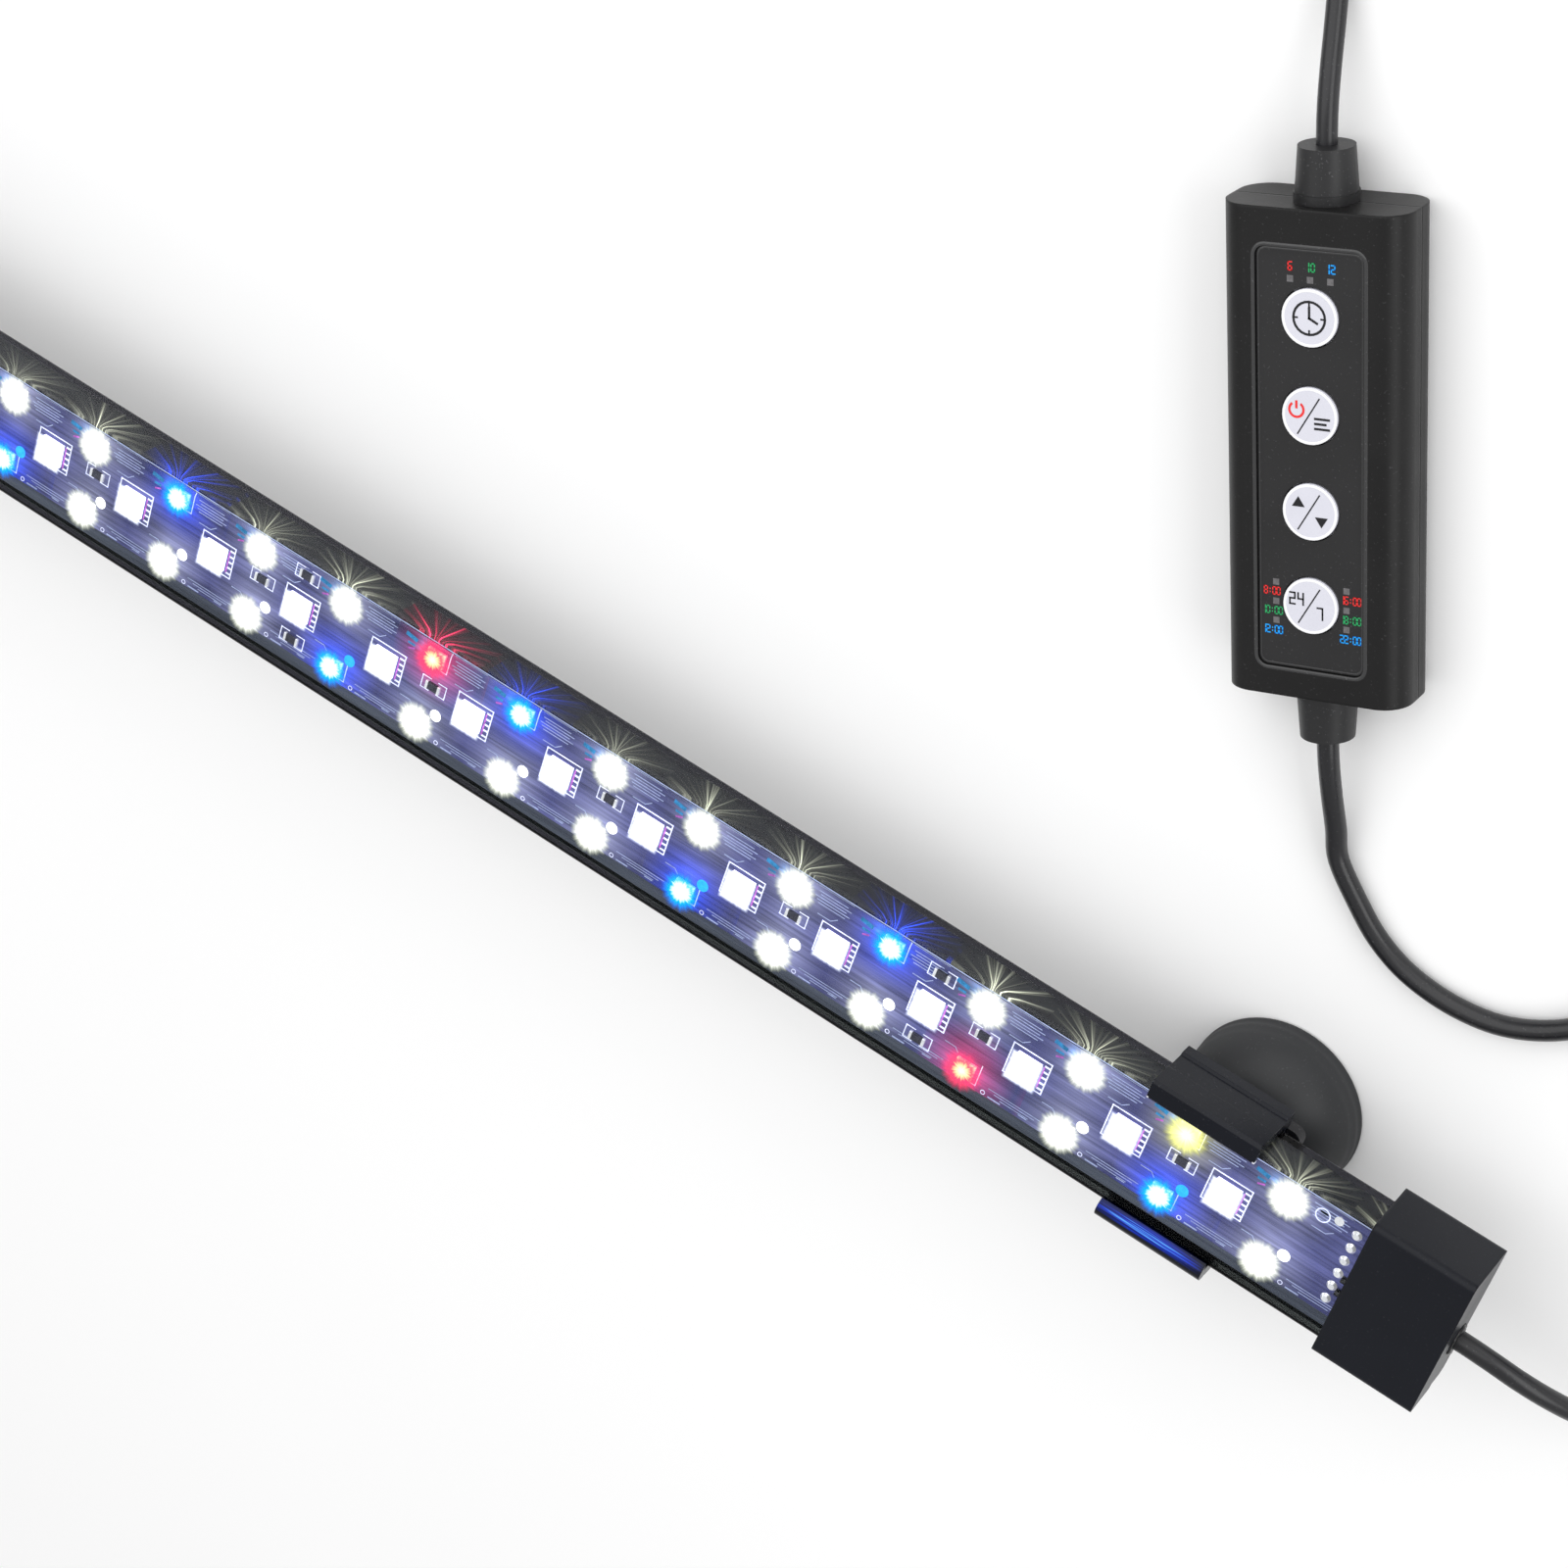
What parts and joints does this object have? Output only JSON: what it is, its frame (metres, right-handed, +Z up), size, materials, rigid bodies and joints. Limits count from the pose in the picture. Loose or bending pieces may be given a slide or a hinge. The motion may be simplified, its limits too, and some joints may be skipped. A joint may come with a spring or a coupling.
{
  "type": "led aquarium light",
  "caption": "Long clear tube of lit LEDs with end caps, sliding suction-cup clips and an inline push-button controller on its cord.",
  "frame": {"origin": "middle of the light between its suction cups, on the surface that the cups rest on", "axes": "+X along the tube towards the cable end, +Y across the tube towards the controller, +Z up, the way the LEDs shine"},
  "size_m": [0.5752, 0.2724, 0.0365],
  "materials": {
    "clear_tube": "clear polished plastic",
    "black_anodised": "black anodised, satin",
    "board_mask": "black-blue solder mask",
    "led_white": "lit white LED",
    "led_blue": "lit blue LED",
    "led_red": "lit red LED",
    "led_yellow": "lit yellow LED",
    "led_square": "lit square LED",
    "chip_ceramic": "matt black with tinned ends",
    "solder": "bright solder",
    "wire_insulation": "black insulation",
    "cap_plastic": "satin moulded plastic",
    "clip_plastic": "glossy moulded plastic",
    "holder_plastic": "satin moulded plastic",
    "seal_silicone": "matt silicone",
    "potting_resin": "cast resin",
    "cup_rubber": "smooth matt rubber",
    "controller_plastic": "fine spark-textured plastic",
    "panel_film": "satin printed film",
    "button_white": "white keys",
    "green_board": "green solder mask",
    "switch_metal": "stamped steel",
    "chip_black": "moulded epoxy",
    "led_small": "small LED, off",
    "window_grey": "smoky light guide",
    "screw_steel": "zinc plated",
    "relief_rubber": "soft moulded rubber",
    "cord_jacket": "smooth PVC jacket",
    "tie_band": "black band",
    "connector_plastic": "moulded PVC",
    "contact_metal": "nickel plated",
    "pin_brass": "bright",
    "mark_black": "printed",
    "mark_red": "printed",
    "mark_green": "printed",
    "mark_blue": "printed",
    "silkscreen": "printed white"
  },
  "bodies": {
    "light": {"lens_tube": "clear_tube", "heat_sink_channel": "black_anodised", "led_board": "board_mask", "white_leds": "led_white", "blue_leds": "led_blue", "red_leds": "led_red", "yellow_leds": "led_yellow", "square_leds": "led_square", "chip_resistors": "chip_ceramic", "solder_pads": "solder", "lead_wires": "wire_insulation", "cable_end_cap": "cap_plastic", "plain_end_cap": "cap_plastic", "cable_end_seal": "seal_silicone", "plain_end_seal": "seal_silicone", "potting_block": "potting_resin", "cable_grommet": "relief_rubber", "controller_front_shell": "controller_plastic", "controller_back_shell": "controller_plastic", "control_panel": "panel_film", "controller_board": "green_board", "tact_switches": "switch_metal", "control_chip": "chip_black", "driver_parts": "chip_black", "controller_leads": "wire_insulation", "indicator_leds": "led_small", "indicator_windows": "window_grey", "controller_screws": "screw_steel", "lamp_side_relief": "relief_rubber", "supply_side_relief": "relief_rubber", "lamp_cord_out": "cord_jacket", "lamp_cord_coil": "cord_jacket", "lamp_cord_return": "cord_jacket", "lamp_coil_ties": "tie_band", "supply_cord_run": "cord_jacket", "supply_cord_coil": "cord_jacket", "supply_cord_tail": "cord_jacket", "supply_coil_ties": "tie_band", "connector_body": "connector_plastic", "connector_sleeve": "contact_metal", "connector_pin": "pin_brass"},
    "right_clip": {"right_clip": "clip_plastic", "right_cup_holder": "holder_plastic"},
    "right_cup": {"right_suction_cup": "cup_rubber"},
    "left_clip": {"left_clip": "clip_plastic", "left_cup_holder": "holder_plastic"},
    "left_cup": {"left_suction_cup": "cup_rubber"},
    "timer_button": {"timer_button": "button_white"},
    "power_button": {"power_button": "button_white"},
    "level_button": {"level_button": "button_white"},
    "day_button": {"day_button": "button_white"}
  },
  "joints": [
    {"name": "right_clip_slide", "type": "slide", "parent": "light", "child": "right_clip", "axis": [1, 0, 0], "range_m": [-0.185, 0.019]},
    {"name": "right_cup_spin", "type": "hinge", "parent": "right_clip", "child": "right_cup", "pos_m": [0.205, 0, 0], "axis": [0, 0, 1], "continuous": true},
    {"name": "left_clip_slide", "type": "slide", "parent": "light", "child": "left_clip", "axis": [1, 0, 0], "range_m": [-0.019, 0.185]},
    {"name": "left_cup_spin", "type": "hinge", "parent": "left_clip", "child": "left_cup", "pos_m": [-0.205, 0, 0], "axis": [0, 0, 1], "continuous": true},
    {"name": "timer_press", "type": "slide", "parent": "light", "child": "timer_button", "axis": [0, 0, -1], "range_m": [0, 0.0005], "stiffness_N_per_m": 800},
    {"name": "power_press", "type": "slide", "parent": "light", "child": "power_button", "axis": [0, 0, -1], "range_m": [0, 0.0005], "stiffness_N_per_m": 800},
    {"name": "level_press", "type": "slide", "parent": "light", "child": "level_button", "axis": [0, 0, -1], "range_m": [0, 0.0005], "stiffness_N_per_m": 800},
    {"name": "day_press", "type": "slide", "parent": "light", "child": "day_button", "axis": [0, 0, -1], "range_m": [0, 0.0005], "stiffness_N_per_m": 800}
  ]
}
